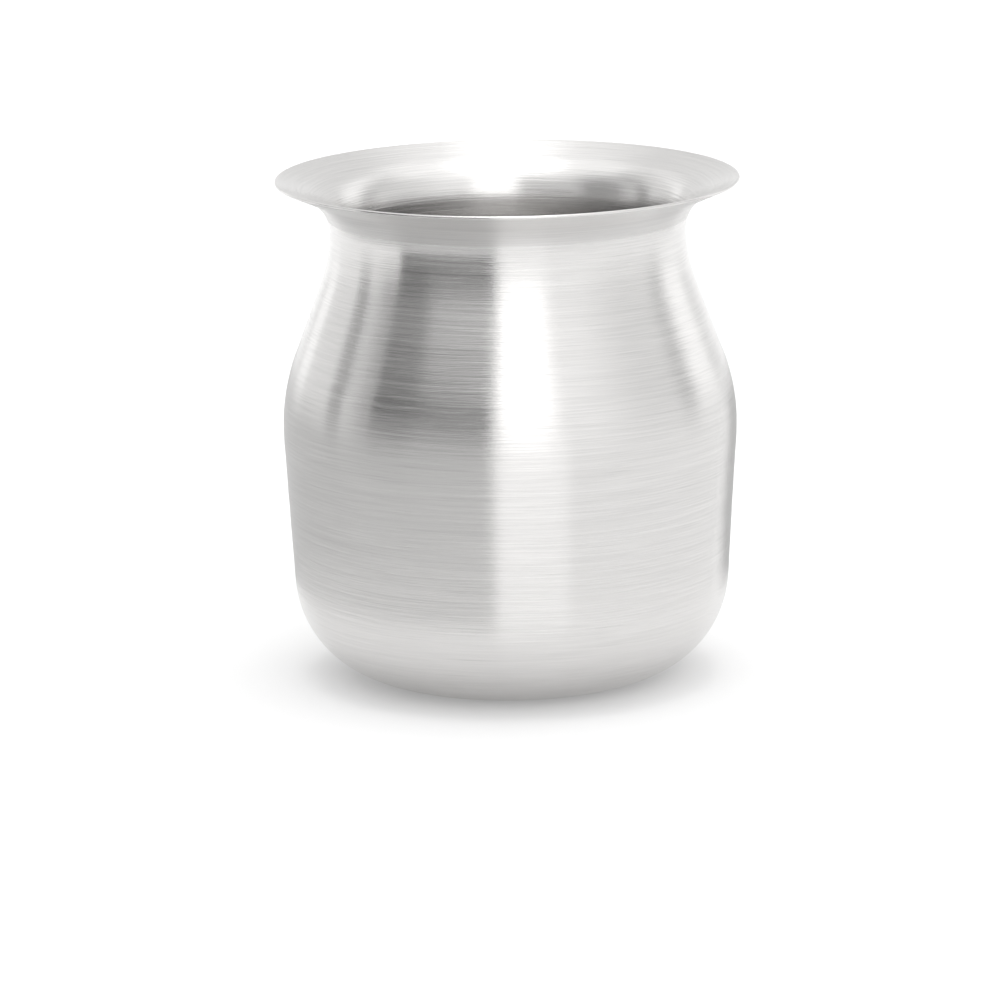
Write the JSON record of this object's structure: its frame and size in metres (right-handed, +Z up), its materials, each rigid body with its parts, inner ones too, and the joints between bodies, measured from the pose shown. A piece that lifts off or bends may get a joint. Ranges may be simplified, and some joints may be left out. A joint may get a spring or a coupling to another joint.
{
  "type": "lota",
  "caption": "Small round-bellied metal water pot with a drawn-in neck and a wide flared brim, spun from one sheet.",
  "frame": {"origin": "middle of the flat ring that the pot stands on", "axes": "+Z up along the axis of the pot, towards the mouth"},
  "size_m": [0.1, 0.1, 0.1092],
  "materials": {
    "brushed_metal": "brushed in fine rings round the axis, with broad soft reflections"
  },
  "bodies": {
    "root": {"vessel": "brushed_metal"}
  },
  "joints": []
}
